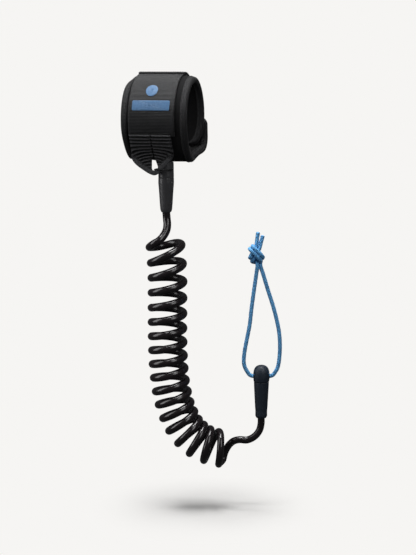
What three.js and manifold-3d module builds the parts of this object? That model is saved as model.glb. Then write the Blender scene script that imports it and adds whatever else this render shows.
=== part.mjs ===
// A coiled bodyboard leash with a bicep cuff, hanging from the arm that the cuff goes round.
// Millimetres. The origin is the centre of the cuff's arm opening, +X runs along the arm,
// -Y is the side with the strap and its print, and +Z is up.
import * as THREE from "three";
import { mergeVertices } from "three/addons/utils/BufferGeometryUtils.js";
import Module from "manifold-3d";

const GAP = 0.3; // clearance between pieces that lie against each other

// The cuff's band: an oval wrap, measured at the middle of its thickness.
const BAND_WIDTH = 67;
const BAND_FRONT_HALF_DEPTH = 38.5;
const BAND_BACK_HALF_DEPTH = 32.5;
const BAND_HALF_HEIGHT = 41.6;
const CORE_HALF_THICKNESS = 1.7;
const CLOTH_THICKNESS = 0.6;
const BINDING_WIDTH = 6;
const BINDING_THICKNESS = 1.2;
// Angles round the wrap in degrees: 0 at the crest, 90 at the back, 180 below, 270 in front.
const BAND_START = 88;
const BAND_END = 490;
const WRAP_STEP = 7.5;
// The first lap lies outside the last one and turns a corner low at the back: the middle line's
// Y and Z, one point every FIRST_LAP_STEP degrees.
const FIRST_LAP_FROM = 82;
const FIRST_LAP_STEP = 12;
const FIRST_LAP = [
  [38, 4.5],
  [38.8, -4.5],
  [39.6, -13.5],
  [39.8, -22.5],
  [34.8, -29.6],
  [25.6, -32.2],
  [16.8, -33.2],
  [8.2, -34.6],
  [0.3, -36.6],
  [-7.6, -38.6],
  [-14.4, -38.6],
  [-21.5, -34.5],
];
// The strap behind rises from the last lap to pass over the start of the first.
const STRAP_LIFT = 6.3;
const STRAP_LIFT_FROM = 405;
const STRAP_LIFT_TO = 446;
const STRAP_FLARE = 2.2;
const STRAP_FLARE_TO = 464;

// Webbing on the band. Heights are above the middle of the band's thickness.
const SKIN_HEIGHT = CORE_HALF_THICKNESS + GAP + CLOTH_THICKNESS;
const STRAP_CENTRE_X = -1.8;
const STRAP_WIDTH = 47;
const STRAP_THICKNESS = 1.2;
const FRONT_STRAP_FROM = 252.5;
const FRONT_STRAP_TO = 366;
const BACK_STRAP_FROM = 411.5;
const BACK_STRAP_TO = 462;
const PATCH_THICKNESS = 0.7;
const PATCH_INSET = 1.5;
const PATCH_FROM = 371;
const PATCH_TO = 402;
const FLAP_FROM = 358.3;
const FLAP_TO = 407.5;
const FLAP_END_FROM = 354.6;
const FLAP_END_TO = 357.9;
const FLAP_HEIGHT = SKIN_HEIGHT + 2 * PATCH_THICKNESS + 3 * GAP;
const PRINT_THICKNESS = 0.4;
const PRINT_BAR_FROM = 281.5;
const PRINT_BAR_TO = 295.5;
const PRINT_BAR_HALF_LENGTH = 19;
const DOT_ANGLE = 309.5;
const DOT_X = -3.3;
const DOT_RADIUS = 6;
const RIB_THICKNESS = 2.2;
const RIB_LOW_ANGLE = 226.5;
const RIB_TOP_ANGLE = 251.3;
const RIB_LEFT_X = -24.8;
const RIB_SEAM_X = -2.8;
const RIB_RIGHT_X = 17.6;

// The sling that hangs below the ribbed webbing, and the flat link that goes through it.
const SLING_FRONT_Y = -31.2;
const SLING_THICKNESS = 2.6;
const SLING_TOP_Z = -33.2;
const SLING_TIP_Z = -54;
const LINK_BAR = 1.8;
const LINK_LEFT_X = -2.9;
const LINK_RIGHT_X = 16.6;
const LINK_FRONT_Y = -33.6;
const LINK_CENTRE_Z = -48;

// The two end mouldings: vertical turned bodies. The cord hangs in a plane through the cuff
// moulding's axis that is turned from the cuff's own front.
const CUFF_AXIS = new THREE.Vector2(6.9, -20);
const CORD_PLANE_TURN = THREE.MathUtils.degToRad(15);
const BOARD_AXIS_S = 95.4; // sideways from the cuff moulding's axis, in the cord's plane
const STRING_HOLE_Z = -257.3;
const PIN_RADIUS = 2;
const PIN_BORE = 2.4;
const CAVITY_RADIUS = 4.5;
const CORD_BORE = 4;

// Cords.
const CORD_DIAMETER = 7.4;
const COIL_DIAMETER = 39.4;
const STRING_DIAMETER = 3.7;

const NEOPRENE = { color: 0x17181a, roughness: 0.85, metalness: 0 };
const JERSEY = { color: 0x1c1d20, roughness: 0.9, metalness: 0 };
const BINDING = { color: 0x26282b, roughness: 0.8, metalness: 0 };
const WEBBING = { color: 0x303337, roughness: 0.7, metalness: 0 };
const PRINT = { color: 0x4b82be, roughness: 0.6, metalness: 0 };
const HOOKS = { color: 0x0e0f10, roughness: 0.95, metalness: 0 };
const NYLON = { color: 0x1b1c1f, roughness: 0.45, metalness: 0 };
const NAVY = { color: 0x1c2632, roughness: 0.5, metalness: 0 };
const URETHANE = { color: 0x0b0a0c, roughness: 0.15, metalness: 0 };
const BRAID = { color: 0x4682b9, roughness: 0.75, metalness: 0 };
const STEEL = { color: 0xb4b8bc, roughness: 0.3, metalness: 1 };
const BRASS = { color: 0xb58d3c, roughness: 0.35, metalness: 1 };

const wasm = await Module();
wasm.setup();

// A named mesh with a material of its own.
function part(name, geometry, look) {
  const mesh = new THREE.Mesh(geometry, new THREE.MeshStandardMaterial(look));
  mesh.name = name;
  return mesh;
}

function solid(geometry) {
  const bare = new THREE.BufferGeometry();
  bare.setAttribute("position", geometry.getAttribute("position"));
  bare.setIndex(geometry.index);
  const merged = mergeVertices(bare, 1e-4);
  return new wasm.Manifold(
    new wasm.Mesh({
      numProp: 3,
      vertProperties: merged.attributes.position.array,
      triVerts: new Uint32Array(merged.index.array),
    }),
  );
}

function geometryOf(manifold) {
  const mesh = manifold.getMesh();
  const geometry = new THREE.BufferGeometry();
  geometry.setAttribute("position", new THREE.BufferAttribute(mesh.vertProperties, 3));
  geometry.setIndex(new THREE.BufferAttribute(mesh.triVerts, 1));
  geometry.computeVertexNormals();
  return geometry;
}

function joined(...geometries) {
  return geometryOf(geometries.map(solid).reduce((whole, piece) => whole.add(piece)));
}

function cut(geometry, ...tools) {
  return geometryOf(tools.map(solid).reduce((whole, tool) => whole.subtract(tool), solid(geometry)));
}

// A solid of revolution about the Z axis from [radius, z] pairs, which either start and end on
// the axis or go once round a closed wall.
function turned(profile, segments = 28) {
  const onAxis = profile[0][0] === 0;
  const points = profile.map(([radius, z]) => new THREE.Vector2(radius, z));
  if (THREE.ShapeUtils.area(points) < 0) points.reverse();
  if (!onAxis) points.push(points[0].clone());
  return new THREE.LatheGeometry(points, segments).rotateX(Math.PI / 2);
}

// An outline drawn in Y and Z, made solid from one X to another.
function slab(shape, fromX, toX) {
  const geometry = new THREE.ExtrudeGeometry(shape, {
    depth: toX - fromX,
    bevelEnabled: false,
    curveSegments: 8,
  });
  const axes = new THREE.Matrix4().makeBasis(
    new THREE.Vector3(0, 1, 0),
    new THREE.Vector3(0, 0, 1),
    new THREE.Vector3(1, 0, 0),
  );
  return geometry.applyMatrix4(axes).translate(fromX, 0, 0);
}

// --- The cuff ---

const firstLap = new THREE.SplineCurve(FIRST_LAP.map(([y, z]) => new THREE.Vector2(y, z)));
const firstLapSteps = FIRST_LAP.length - 1;
const firstLapEnd = FIRST_LAP_FROM + (firstLapSteps - 1) * FIRST_LAP_STEP;

// The middle line of the wrap: the first lap's own curve, and then an oval.
function wrapLine(degrees) {
  if (degrees < firstLapEnd) {
    return firstLap.getPoint((degrees - FIRST_LAP_FROM) / FIRST_LAP_STEP / firstLapSteps);
  }
  const angle = THREE.MathUtils.degToRad(degrees);
  const halfDepth = Math.sin(angle) > 0 ? BAND_BACK_HALF_DEPTH : BAND_FRONT_HALF_DEPTH;
  return new THREE.Vector2(halfDepth * Math.sin(angle), BAND_HALF_HEIGHT * Math.cos(angle));
}

function strapLift(degrees) {
  return (
    STRAP_LIFT * THREE.MathUtils.smoothstep(degrees, STRAP_LIFT_FROM, STRAP_LIFT_TO) +
    STRAP_FLARE * THREE.MathUtils.smoothstep(degrees, STRAP_LIFT_TO, STRAP_FLARE_TO)
  );
}

function wrapPoint(degrees, height) {
  const along = wrapLine(degrees + 0.5).sub(wrapLine(degrees - 0.5)).normalize();
  return wrapLine(degrees).add(new THREE.Vector2(-along.y, along.x).multiplyScalar(height));
}

// The outline of a layer that follows the wrap between two angles and two heights, raised by
// liftAt a given angle.
function wrapShape(fromDegrees, toDegrees, low, high, liftAt = () => 0) {
  const steps = Math.ceil((toDegrees - fromDegrees) / WRAP_STEP);
  const outer = [];
  const inner = [];
  for (let i = 0; i <= steps; i++) {
    const degrees = THREE.MathUtils.lerp(fromDegrees, toDegrees, i / steps);
    outer.push(wrapPoint(degrees, high + liftAt(degrees)));
    inner.unshift(wrapPoint(degrees, low + liftAt(degrees)));
  }
  return new THREE.Shape([...outer, ...inner]);
}

function bandLayer(low, high, fromX, toX) {
  return slab(wrapShape(BAND_START, BAND_END, low, high), fromX, toX);
}

// The tape folded over one edge of the band: a web across the edge and a leg on each face.
function edgeBinding(side) {
  const outerX = (side * BAND_WIDTH) / 2;
  const webX = outerX - side * BINDING_THICKNESS;
  const legX = outerX - side * BINDING_WIDTH;
  const across = (low, high, x) => bandLayer(low, high, Math.min(x, outerX), Math.max(x, outerX));
  const clothLow = SKIN_HEIGHT - CLOTH_THICKNESS;
  return joined(
    across(-SKIN_HEIGHT, SKIN_HEIGHT, webX),
    across(clothLow, SKIN_HEIGHT, legX),
    across(-SKIN_HEIGHT, -clothLow, legX),
  );
}

function band() {
  const coreX = BAND_WIDTH / 2 - BINDING_THICKNESS - GAP;
  const clothX = BAND_WIDTH / 2 - BINDING_WIDTH - GAP;
  const clothLow = SKIN_HEIGHT - CLOTH_THICKNESS;
  return [
    part("neoprene_band", bandLayer(-CORE_HALF_THICKNESS, CORE_HALF_THICKNESS, -coreX, coreX), NEOPRENE),
    part("band_outer_face", bandLayer(clothLow, SKIN_HEIGHT, -clothX, clothX), JERSEY),
    part("band_lining", bandLayer(-SKIN_HEIGHT, -clothLow, -clothX, clothX), JERSEY),
    part("edge_binding_left", edgeBinding(-1), BINDING),
    part("edge_binding_right", edgeBinding(1), BINDING),
  ];
}

// A strip of webbing on the band, as wide as the strap unless told otherwise.
function strip(fromDegrees, toDegrees, low, thickness, inset = 0) {
  const half = STRAP_WIDTH / 2 - inset;
  const shape = wrapShape(fromDegrees, toDegrees, low, low + thickness, strapLift);
  return slab(shape, STRAP_CENTRE_X - half, STRAP_CENTRE_X + half);
}

function straps() {
  const low = SKIN_HEIGHT + GAP;
  const hookLow = low + PATCH_THICKNESS + GAP;
  return [
    part("front_strap", strip(FRONT_STRAP_FROM, FRONT_STRAP_TO, low, STRAP_THICKNESS), WEBBING),
    part("back_strap", strip(BACK_STRAP_FROM, BACK_STRAP_TO, low, STRAP_THICKNESS), WEBBING),
    part("loop_patch", strip(PATCH_FROM, PATCH_TO, low, PATCH_THICKNESS, PATCH_INSET), HOOKS),
    part("hook_patch", strip(PATCH_FROM, PATCH_TO, hookLow, PATCH_THICKNESS, PATCH_INSET), HOOKS),
    part("closure_flap", strip(FLAP_FROM, FLAP_TO, FLAP_HEIGHT + GAP, STRAP_THICKNESS), WEBBING),
    part("flap_end_tape", strip(FLAP_END_FROM, FLAP_END_TO, FLAP_HEIGHT - GAP, STRAP_THICKNESS + 1), BINDING),
  ];
}

// A print lies on the strap as a thin patch: a plain bar, and a round dot above it.
function prints() {
  const low = SKIN_HEIGHT + STRAP_THICKNESS + 2 * GAP;
  const layer = (fromDegrees, toDegrees, centreX, half) =>
    slab(wrapShape(fromDegrees, toDegrees, low, low + PRINT_THICKNESS), centreX - half, centreX + half);
  const bar = layer(PRINT_BAR_FROM, PRINT_BAR_TO, STRAP_CENTRE_X, PRINT_BAR_HALF_LENGTH);
  const square = layer(DOT_ANGLE - 12, DOT_ANGLE + 12, DOT_X, DOT_RADIUS + 2);
  const punch = new THREE.CylinderGeometry(DOT_RADIUS, DOT_RADIUS, 40, 24);
  punch.rotateX(THREE.MathUtils.degToRad(90 - DOT_ANGLE));
  const spot = wrapPoint(DOT_ANGLE, 0);
  punch.translate(DOT_X, spot.x, spot.y);
  const dot = geometryOf(solid(square).intersect(solid(punch)));
  return [part("print_bar", bar, PRINT), part("print_dot", dot, PRINT)];
}

function ribWebbing() {
  const low = SKIN_HEIGHT + GAP;
  const shape = wrapShape(RIB_LOW_ANGLE, RIB_TOP_ANGLE, low, low + RIB_THICKNESS);
  return [
    part("rib_webbing_left", slab(shape, RIB_LEFT_X, RIB_SEAM_X - GAP), WEBBING),
    part("rib_webbing_right", slab(shape, RIB_SEAM_X + GAP, RIB_RIGHT_X), WEBBING),
  ];
}

// Two arms that meet in a blunt point below, with a slot between them that is open above.
function slingShape() {
  const shape = new THREE.Shape();
  shape.moveTo(-25.4, SLING_TOP_Z);
  shape.splineThru([
    new THREE.Vector2(-23.8, -37.2),
    new THREE.Vector2(-20.4, -42.2),
    new THREE.Vector2(-12.6, -48.3),
    new THREE.Vector2(-5.7, -52.4),
    new THREE.Vector2(-0.9, SLING_TIP_Z),
    new THREE.Vector2(2.1, -52.7),
  ]);
  shape.lineTo(15.3, -39.2);
  shape.lineTo(RIB_RIGHT_X, SLING_TOP_Z);
  shape.lineTo(-1.8, SLING_TOP_Z);
  shape.lineTo(-1.8, -36.4);
  shape.lineTo(2.1, -48.6);
  shape.quadraticCurveTo(2, -49.5, 1, -49.5);
  shape.lineTo(-3.9, -49.5);
  shape.quadraticCurveTo(-4.9, -49.5, -4.9, -48.6);
  shape.lineTo(-4.9, SLING_TOP_Z);
  return shape;
}

function sling() {
  const geometry = new THREE.ExtrudeGeometry(slingShape(), {
    depth: SLING_THICKNESS,
    bevelEnabled: false,
    curveSegments: 3,
  });
  geometry.rotateX(Math.PI / 2).translate(0, SLING_FRONT_Y + SLING_THICKNESS, 0);
  return part("webbing_sling", geometry, WEBBING);
}

function roundedRectangle(left, right, front, back, radius) {
  const shape = new THREE.Shape();
  shape.absarc(right - radius, back - radius, radius, 0, Math.PI / 2);
  shape.absarc(left + radius, back - radius, radius, Math.PI / 2, Math.PI);
  shape.absarc(left + radius, front + radius, radius, Math.PI, Math.PI * 1.5);
  shape.absarc(right - radius, front + radius, radius, Math.PI * 1.5, Math.PI * 2);
  return shape;
}

// A flat rectangular link: round one arm of the sling in front, through the swivel head behind.
function link() {
  const backY = CUFF_AXIS.y + LINK_BAR / 2;
  const shape = roundedRectangle(LINK_LEFT_X, LINK_RIGHT_X, LINK_FRONT_Y, backY, 3);
  const inside = [
    LINK_LEFT_X + LINK_BAR,
    LINK_RIGHT_X - LINK_BAR,
    LINK_FRONT_Y + LINK_BAR,
    backY - LINK_BAR,
  ];
  shape.holes.push(roundedRectangle(...inside, 1));
  const geometry = new THREE.ExtrudeGeometry(shape, {
    depth: LINK_BAR,
    bevelEnabled: false,
    curveSegments: 4,
  });
  geometry.translate(0, 0, LINK_CENTRE_Z - LINK_BAR / 2);
  return part("sling_link", geometry, NYLON);
}

// --- The end mouldings, each round its own vertical axis ---

// A headed pin: its shank starts in the head above and ends in a flange in the cavity below.
function swivelPin(topZ, flangeZ) {
  return turned(
    [
      [0, topZ],
      [PIN_RADIUS, topZ],
      [PIN_RADIUS, flangeZ],
      [CAVITY_RADIUS - 0.5, flangeZ],
      [CAVITY_RADIUS - 0.5, flangeZ - 2],
      [0, flangeZ - 2],
    ],
    20,
  );
}

function washer(topZ) {
  const outer = CAVITY_RADIUS - GAP;
  return turned([[PIN_BORE, topZ], [outer, topZ], [outer, topZ - 0.7], [PIN_BORE, topZ - 0.7]], 20);
}

// The brass barrel pressed on the end of the cord, which stops it from pulling out.
function crimp(topZ, length) {
  const outer = CAVITY_RADIUS - GAP;
  return turned([[0, topZ], [outer, topZ], [outer, topZ - length], [0, topZ - length]], 20);
}

// The end of the cord inside the moulding's lower bore.
function cordPlug(topZ, bottomZ) {
  const radius = CORD_DIAMETER / 2;
  return turned([[0, topZ], [radius, topZ], [radius, bottomZ], [0, bottomZ]], 16);
}

// The hollow of a moulding, listed from its mouth up to its top face.
function hollow(topZ, cavityTopZ, cavityBottomZ, mouthZ) {
  return [
    [CORD_BORE, mouthZ],
    [CORD_BORE, cavityBottomZ],
    [CAVITY_RADIUS, cavityBottomZ],
    [CAVITY_RADIUS, cavityTopZ],
    [PIN_BORE, cavityTopZ],
    [PIN_BORE, topZ],
  ];
}

function cuffSwivelHead() {
  const body = turned([
    [0, -42],
    [6.3, -42],
    [7.4, -42.9],
    [7.6, -45],
    [7.7, -50],
    [8, -54.5],
    [8, -56.6],
    [7.6, -57],
    [PIN_BORE, -57],
    [PIN_BORE, -51.4],
    [0, -51.4],
  ]);
  const slot = new THREE.BoxGeometry(30, LINK_BAR + 1, LINK_BAR + 1);
  slot.translate(0, 0, LINK_CENTRE_Z);
  return cut(body, slot);
}

function cuffMoulding() {
  const body = turned([
    [7.7, -57.4],
    [8.1, -58],
    [8.1, -62],
    [7.3, -74],
    [6.8, -83],
    [5.9, -88.9],
    [5.2, -90.9],
    [4.5, -92.5],
    ...hollow(-57.4, -69, -80, -92.5),
  ]);
  const dimples = [-61, -81.5].map((z) => {
    const drill = new THREE.CylinderGeometry(1.1, 1.1, 3, 12).rotateZ(Math.PI / 2);
    drill.translate(z > -70 ? 8.4 : 7.2, 0, z);
    return drill.rotateZ(CORD_PLANE_TURN - THREE.MathUtils.degToRad(43));
  });
  return cut(body, ...dimples);
}

function cuffEnd() {
  const group = new THREE.Group();
  group.position.set(CUFF_AXIS.x, CUFF_AXIS.y, 0);
  group.add(
    part("cuff_swivel_head", cuffSwivelHead(), NYLON),
    part("cuff_swivel_pin", swivelPin(-51.7, -70.1), STEEL),
    part("cuff_moulding", cuffMoulding(), NYLON),
    part("cuff_swivel_washer", washer(-69.2), STEEL),
    part("cuff_cord_crimp", crimp(-73, 6.7), BRASS),
    part("cuff_cord_plug", cordPlug(-80.3, -92.3), URETHANE),
  );
  return group;
}

function boardHead() {
  const body = turned([
    [0, -245.2],
    [3, -245.7],
    [5.6, -247.6],
    [7.3, -250.3],
    [8, -253.5],
    [8.1, -257.5],
    [7.9, -261],
    [7.4, -263.2],
    [PIN_BORE, -263.2],
    [PIN_BORE, -260.7],
    [0, -260.7],
  ]);
  const hole = new THREE.CylinderGeometry(2.3, 2.3, 24, 16).rotateZ(Math.PI / 2);
  return cut(body, hole.translate(0, 0, STRING_HOLE_Z));
}

function boardSleeve() {
  return turned([
    [6.7, -263.6],
    [7, -264],
    [6.9, -268],
    [6.5, -278],
    [5.8, -290],
    [5.5, -293],
    [5.5, -298.4],
    [4.5, -300.4],
    ...hollow(-263.6, -272, -283, -300.4),
  ]);
}

function eyelet(side) {
  const ring = turned([[2.4, 0.9], [3.7, 0.9], [3.7, 0], [2.4, 0]], 20);
  ring.rotateY((side * Math.PI) / 2);
  return ring.translate(side * 8.4, 0, STRING_HOLE_Z);
}

// A point given by the cord's plane: sideways from the cuff moulding's axis, its height, and
// how far behind the plane it is.
function inPlane([sideways, z, behind = 0]) {
  return new THREE.Vector3(sideways, behind, z)
    .applyAxisAngle(new THREE.Vector3(0, 0, 1), CORD_PLANE_TURN)
    .add(new THREE.Vector3(CUFF_AXIS.x, CUFF_AXIS.y, 0));
}

function boardEnd() {
  const group = new THREE.Group();
  group.position.copy(inPlane([BOARD_AXIS_S, 0]));
  group.rotation.z = CORD_PLANE_TURN;
  group.add(
    part("board_head", boardHead(), NAVY),
    part("eyelet_left", eyelet(-1), NYLON),
    part("eyelet_right", eyelet(1), NYLON),
    part("board_swivel_pin", swivelPin(-261, -273.1), STEEL),
    part("board_sleeve", boardSleeve(), NAVY),
    part("board_swivel_washer", washer(-272.2), STEEL),
    part("board_cord_crimp", crimp(-276, 6.7), BRASS),
    part("board_cord_plug", cordPlug(-283.3, -300.2), URETHANE),
  );
  return group;
}

// --- Cords ---

// A round bar along a route given by the cord's plane.
function tube(route, diameter, sides, step) {
  const path = new THREE.CatmullRomCurve3(route.map(inPlane), false, "centripetal");
  const section = new THREE.Shape().absarc(0, 0, diameter / 2, 0, Math.PI * 2);
  return new THREE.ExtrudeGeometry(section, {
    steps: Math.ceil(path.getLength() / step),
    extrudePath: path,
    curveSegments: sides / 2,
  });
}

const LEAD_IN_ROUTE = [
  [0, -93.1],
  [0.5, -98],
  [1, -103.5, -1.5],
  [0.2, -109.2, -5],
  [-2.8, -114.2, -8.6],
  [-5.2, -116.6, -10.4],
];

const COIL_AXIS_ROUTE = [
  [-1.2, -120.3],
  [0.8, -150],
  [0.9, -190],
  [1, -225],
  [2.2, -252],
  [5, -273.5],
  [11, -295.5],
  [22, -315],
  [37, -325.7],
  [57.8, -331.7],
];

const LEAD_OUT_ROUTE = [
  [63.2, -326.2],
  [65.2, -324],
  [68.6, -323.2],
  [73.8, -323.8],
  [81.4, -323.6],
  [89.1, -319.6],
  [93.7, -313.4],
  [95.3, -306.5],
  [BOARD_AXIS_S, -300.7],
];

const STRING_ROUTE = [
  [90.2, -145.4],
  [90, -152.3],
  [87.6, -169.7],
  [85.2, -188.1],
  [83.3, -205.5],
  [80, -222.9],
  [78.1, -234.3],
  [77.6, -243.1],
  [78.7, -248.5],
  [81, -252.8],
  [83.4, -256.1],
  [85.9, STRING_HOLE_Z],
  [90.6, STRING_HOLE_Z],
  [BOARD_AXIS_S, STRING_HOLE_Z],
  [100.2, STRING_HOLE_Z],
  [104.9, STRING_HOLE_Z],
  [107.3, -256.1],
  [109.4, -253.2],
  [111.5, -249.3],
  [112.9, -243.1],
  [113.9, -227.8],
  [113, -213.2],
  [110.6, -200.7],
  [106.8, -186.2],
  [101.5, -169.7],
  [96.2, -152.3],
  [94.4, -144.2],
];

const TAIL_ROUTES = {
  string_tail_long: [[89.7, -122], [90.5, -117], [91.5, -111.3]],
  string_tail_short: [[94.4, -122.4], [95.2, -118.6], [96.2, -114.7]],
};

function knot() {
  const lump = new THREE.SphereGeometry(1, 20, 12).scale(8.4, 6.4, 10.2);
  const mesh = part("string_knot", lump, BRAID);
  mesh.position.copy(inPlane([89.8, -132.9]));
  mesh.rotation.z = CORD_PLANE_TURN;
  return mesh;
}

function cords() {
  const group = new THREE.Group();
  group.add(
    part("cord_lead_in", tube(LEAD_IN_ROUTE, CORD_DIAMETER, 12, 5), URETHANE),
    part("curly_cord_coil", tube(COIL_AXIS_ROUTE, COIL_DIAMETER, 20, 10), URETHANE),
    part("cord_lead_out", tube(LEAD_OUT_ROUTE, CORD_DIAMETER, 12, 6), URETHANE),
    part("string_loop", tube(STRING_ROUTE, STRING_DIAMETER, 8, 4.5), BRAID),
    knot(),
  );
  for (const [name, route] of Object.entries(TAIL_ROUTES)) {
    group.add(part(name, tube(route, STRING_DIAMETER, 8, 4), BRAID));
  }
  return group;
}

const leash = new THREE.Group();
leash.add(...band(), ...straps(), ...prints(), ...ribWebbing(), sling(), link());
leash.add(cuffEnd(), boardEnd(), cords());

export default leash;
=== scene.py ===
"""A coiled bodyboard leash with a bicep cuff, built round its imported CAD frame.

Lengths are millimetres until a mesh is made. The cuff's own frame is the CAD's: +X along the
arm, -Y the strap's side, +Z up. The cord hangs in a plane turned 15 degrees from the cuff.
"""

import math

import bmesh
import bpy
import numpy as np
from mathutils import Matrix, Vector, noise


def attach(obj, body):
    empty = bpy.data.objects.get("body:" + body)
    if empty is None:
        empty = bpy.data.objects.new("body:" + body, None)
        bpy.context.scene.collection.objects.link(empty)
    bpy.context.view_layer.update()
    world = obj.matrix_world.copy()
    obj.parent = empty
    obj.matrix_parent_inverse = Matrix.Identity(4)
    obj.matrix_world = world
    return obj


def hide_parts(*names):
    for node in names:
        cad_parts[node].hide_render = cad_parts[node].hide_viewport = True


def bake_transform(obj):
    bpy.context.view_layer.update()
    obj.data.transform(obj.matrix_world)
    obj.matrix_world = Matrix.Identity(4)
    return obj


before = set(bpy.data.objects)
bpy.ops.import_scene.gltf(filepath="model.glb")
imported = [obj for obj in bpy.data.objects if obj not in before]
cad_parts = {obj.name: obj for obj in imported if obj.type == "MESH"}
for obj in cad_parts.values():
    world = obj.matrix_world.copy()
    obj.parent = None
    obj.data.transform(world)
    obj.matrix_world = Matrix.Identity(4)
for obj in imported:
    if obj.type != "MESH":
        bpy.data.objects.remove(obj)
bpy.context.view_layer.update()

MM = 0.001
TAU = 2 * math.pi
WELD = 1e-6  # metres: points nearer than this are one

# The cord's plane: through the cuff moulding's axis, turned from the cuff's front.
CUFF_AXIS = (6.9, -20.0)
CORD_PLANE_TURN = math.radians(15)
BOARD_AXIS_S = 95.4
STRING_HOLE_Z = -257.3

# The cuff's wrap, measured at the middle of the band's thickness.
BAND_FRONT_HALF_DEPTH = 38.5
BAND_BACK_HALF_DEPTH = 32.5
BAND_HALF_HEIGHT = 41.6
CREST_SAG = 0.7  # the tightened strap presses the foam in at the crest
BAND_START = 88.0
BAND_END = 490.0
SKIN_HEIGHT = 2.6

# The first lap lies outside the last one and turns a corner low at the back: the middle line's
# Y and Z, one point every FIRST_LAP_STEP degrees.
FIRST_LAP_FROM = 82.0
FIRST_LAP_STEP = 12.0
FIRST_LAP = np.array([
    (38, 4.5), (38.8, -4.5), (39.6, -13.5), (39.8, -22.5), (34.8, -29.6), (25.6, -32.2),
    (16.8, -33.2), (8.2, -34.6), (0.3, -36.6), (-7.6, -38.6), (-14.4, -38.6), (-21.5, -34.5),
])
FIRST_LAP_END = FIRST_LAP_FROM + (len(FIRST_LAP) - 2) * FIRST_LAP_STEP

# How far the band's right and left edges lie from its middle: [degrees, millimetres].
RIGHT_EDGE = [(88, 33.2), (150, 33.0), (193, 32.4), (219, 33.2), (250, 33.4), (292, 33.2), (318, 33.3)]
RIGHT_EDGE += [(345, 32.6), (360, 32.0), (400, 32.0), (450, 31.6), (463, 30.9), (475, 29.4)]
RIGHT_EDGE += [(482, 27.6), (486.5, 25.2), (489, 21.8), (490, 18.5)]
LEFT_EDGE = [(88, 33.2), (240, 33.4), (300, 33.4), (360, 32.6), (463, 32.2), (475, 30.6)]
LEFT_EDGE += [(482, 28.6), (486.5, 26.0), (489, 22.4), (490, 19.0)]

# The strap behind rises from the last lap to pass over the start of the first.
STRAP_LIFT = 6.3
STRAP_LIFT_FROM = 405.0
STRAP_LIFT_TO = 446.0
STRAP_FLARE = 2.2
STRAP_FLARE_TO = 464.0

STRAP_LEFT_X = -25.3
STRAP_RIGHT_X = 21.7
STRAP_CENTRE_X = (STRAP_LEFT_X + STRAP_RIGHT_X) / 2
STRAP_LOW = SKIN_HEIGHT + 0.35
HOOK_LOW = 3.65
FLAP_LOW = 4.45
WEBBING_THICKNESS = 1.2

# Where each strip lies on the wrap, in degrees.
FRONT_STRAP_FROM = 250.0
FRONT_STRAP_TO = 365.5
BACK_STRAP_SPAN = (411.5, 462.0)
FLAP_SPAN = (356.0, 407.5)
PATCH_SPAN = (371, 402)
STRIP_STEP = 0.25
PATCH = {"thickness": 0.6, "inset": 1.5, "pitch": 0.9, "ridge": 0.03}

CORD_RADIUS = 3.92
CORD_END_RADIUS = 3.6
COIL_RADIUS = 16.1
COIL_TURNS = 17
CORD_SIDES = 32
STRING_DIAMETER = 4.1
RIB_PITCH = 3.35


# --- Camera, first, because the cords are tested against its view ---

CAMERA_TARGET = (41.5, -157.1)
CAMERA_ELEVATION = 8
CAMERA_DISTANCE = 1.5417  # metres
CAMERA_LENS = 100


def in_plane(sideways, z, behind=0.0):
    """A point given by the cord's plane, in the CAD frame, in millimetres."""
    cos, sin = math.cos(CORD_PLANE_TURN), math.sin(CORD_PLANE_TURN)
    x = CUFF_AXIS[0] + sideways * cos - behind * sin
    y = CUFF_AXIS[1] + sideways * sin + behind * cos
    return np.array([x, y, z])


def add_object(name, data):
    obj = bpy.data.objects.new(name, data)
    bpy.context.collection.objects.link(obj)
    return obj


def aim(obj, target):
    direction = Vector(target) - obj.location
    obj.rotation_euler = direction.to_track_quat("-Z", "Y").to_euler()


def make_camera():
    """Square to the cord's plane, and a little above it."""
    elevation = math.radians(CAMERA_ELEVATION)
    target = Vector(in_plane(*CAMERA_TARGET)) * MM
    level = math.cos(elevation)
    x, y = math.sin(CORD_PLANE_TURN) * level, -math.cos(CORD_PLANE_TURN) * level
    data = bpy.data.cameras.new("camera")
    data.lens = CAMERA_LENS
    data.sensor_width = 36
    camera = add_object("camera", data)
    camera.location = target + Vector((x, y, math.sin(elevation))) * CAMERA_DISTANCE
    aim(camera, target)
    bpy.context.scene.camera = camera


make_camera()

# --- Mesh helpers ---


def smoothstep(value, low, high):
    t = np.clip((np.asarray(value, float) - low) / (high - low), 0, 1)
    return t * t * (3 - 2 * t)


def unit(vectors):
    """The same directions with a length of one."""
    return vectors / np.linalg.norm(vectors, axis=-1, keepdims=True)


def distances(points):
    """How far along a line each of its points lies."""
    hops = np.linalg.norm(np.diff(points, axis=0), axis=1)
    return np.concatenate([[0], np.cumsum(hops)])


def full_turn(count):
    """Evenly spaced angles round a circle."""
    return np.arange(count) / count * TAU


def circles(across, up, sides):
    """A unit circle for each pair of directions: [point, side, xyz]."""
    angles = full_turn(sides)[None, :, None]
    return np.cos(angles) * across[:, None] + np.sin(angles) * up[:, None]


def hermite(t, start, start_slope, end, end_slope):
    """A cubic from start to end as t runs from 0 to 1."""
    rise = 3 * t**2 - 2 * t**3
    slopes = (t**3 - 2 * t**2 + t) * start_slope + (t**3 - t**2) * end_slope
    return (1 - rise) * start + rise * end + slopes


def made_mesh(name, maker, **options):
    """A mesh made by one of bmesh's own makers."""
    work = bmesh.new()
    maker(work, **options)
    mesh = bpy.data.meshes.new(name)
    work.to_mesh(mesh)
    work.free()
    return mesh


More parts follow.
